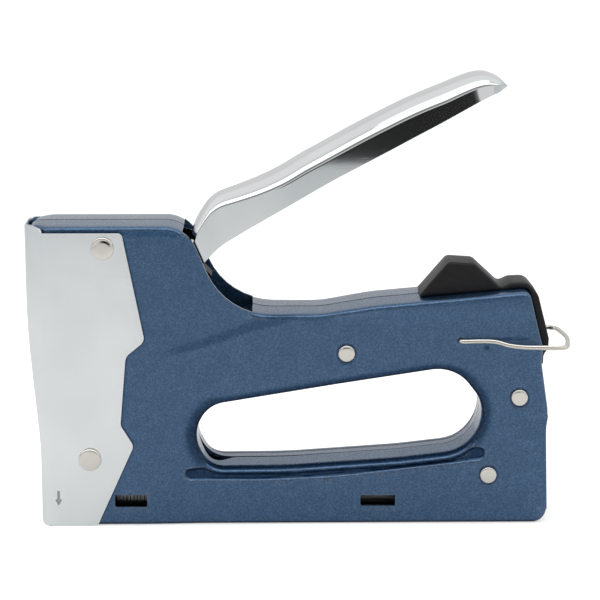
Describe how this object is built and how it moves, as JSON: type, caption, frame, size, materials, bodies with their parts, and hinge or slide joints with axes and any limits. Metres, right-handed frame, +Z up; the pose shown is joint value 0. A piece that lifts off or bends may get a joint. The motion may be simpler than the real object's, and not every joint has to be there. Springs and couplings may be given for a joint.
{
  "type": "staple gun",
  "caption": "Hand staple gun of two pressed blue steel shells with a chromed squeeze lever and nose plate, a spring-driven striker, a rear-loading staple magazine and a wire lever lock.",
  "frame": {"origin": "on the flat base, midway between the nose and the wire lock's crossbar, on the seam between the shells", "axes": "+X from the nose to the rear end, +Y towards the user's right with the nose pointing away, +Z up from the base to the lever"},
  "size_m": [0.1936, 0.0344, 0.1612],
  "materials": {
    "blue_paint": "metallic",
    "nose_chrome": "polished",
    "lever_chrome": "polished",
    "rivet_nickel": "satin",
    "bare_steel": "satin",
    "zinc_steel": "zinc plated",
    "hardened_steel": "ground",
    "spring_steel": "oiled",
    "bronze": "satin",
    "black_rubber": "matte",
    "black_plastic": "fine grain",
    "staple_wire": "zinc plated",
    "bail_nickel": "nickel plated"
  },
  "bodies": {
    "body": {"left_shell": "blue_paint", "right_shell": "blue_paint", "nose_plate": "nose_chrome", "pivot_rivet": "rivet_nickel", "nose_rivet": "rivet_nickel", "body_rivets": "rivet_nickel", "mechanism_frame": "zinc_steel", "driver_guide": "zinc_steel", "bumper_pad": "black_rubber", "spring_cap": "zinc_steel", "main_spring": "spring_steel", "lifter_pin": "bare_steel", "pivot_bush": "bronze", "lever_spring": "spring_steel", "staple_channel": "zinc_steel", "staple_rail": "zinc_steel", "staple_strip": "staple_wire", "rear_bumper": "black_plastic"},
    "lever": {"lever": "lever_chrome", "push_pin": "hardened_steel"},
    "lifter": {"lifter": "hardened_steel"},
    "striker": {"plunger": "hardened_steel", "driver_blade": "hardened_steel"},
    "bail": {"bail": "bail_nickel"},
    "pusher": {"pusher_rod": "bare_steel", "pull_handle": "zinc_steel", "follower_spring": "spring_steel"},
    "follower": {"follower": "bronze"}
  },
  "joints": [
    {"name": "lever_hinge", "type": "hinge", "parent": "body", "child": "lever", "pos_m": [-0.06884, 0, 0.102], "axis": [0, 1, 0], "range_deg": [0, 26], "stiffness_Nm_per_rad": 0.5, "springref_deg": -28.65, "deforming": ["lever_spring"]},
    {"name": "lifter_hinge", "type": "hinge", "parent": "body", "child": "lifter", "pos_m": [-0.05164, 0, 0.073], "axis": [0, 1, 0], "range_deg": [0, 24]},
    {"name": "striker_slide", "type": "slide", "parent": "body", "child": "striker", "axis": [0, 0, 1], "range_m": [0, 0.0135], "stiffness_N_per_m": 200, "springref_m": -0.02, "deforming": ["main_spring"]},
    {"name": "bail_hinge", "type": "hinge", "parent": "body", "child": "bail", "pos_m": [0.05656, 0, 0.0674], "axis": [0, -1, 0], "range_deg": [-27, 118]},
    {"name": "pusher_slide", "type": "slide", "parent": "body", "child": "pusher", "axis": [1, 0, 0], "range_m": [0, 0.12]},
    {"name": "follower_slide", "type": "slide", "parent": "pusher", "child": "follower", "axis": [1, 0, 0], "range_m": [0, 0.06], "stiffness_N_per_m": 20, "springref_m": -0.05, "deforming": ["follower_spring"]}
  ],
  "couplings": [
    {"joint": "lifter_hinge", "follows": "lever_hinge", "ratio": 0.9},
    {"joint": "striker_slide", "follows": "lever_hinge", "m_per_rad": 0.029}
  ]
}
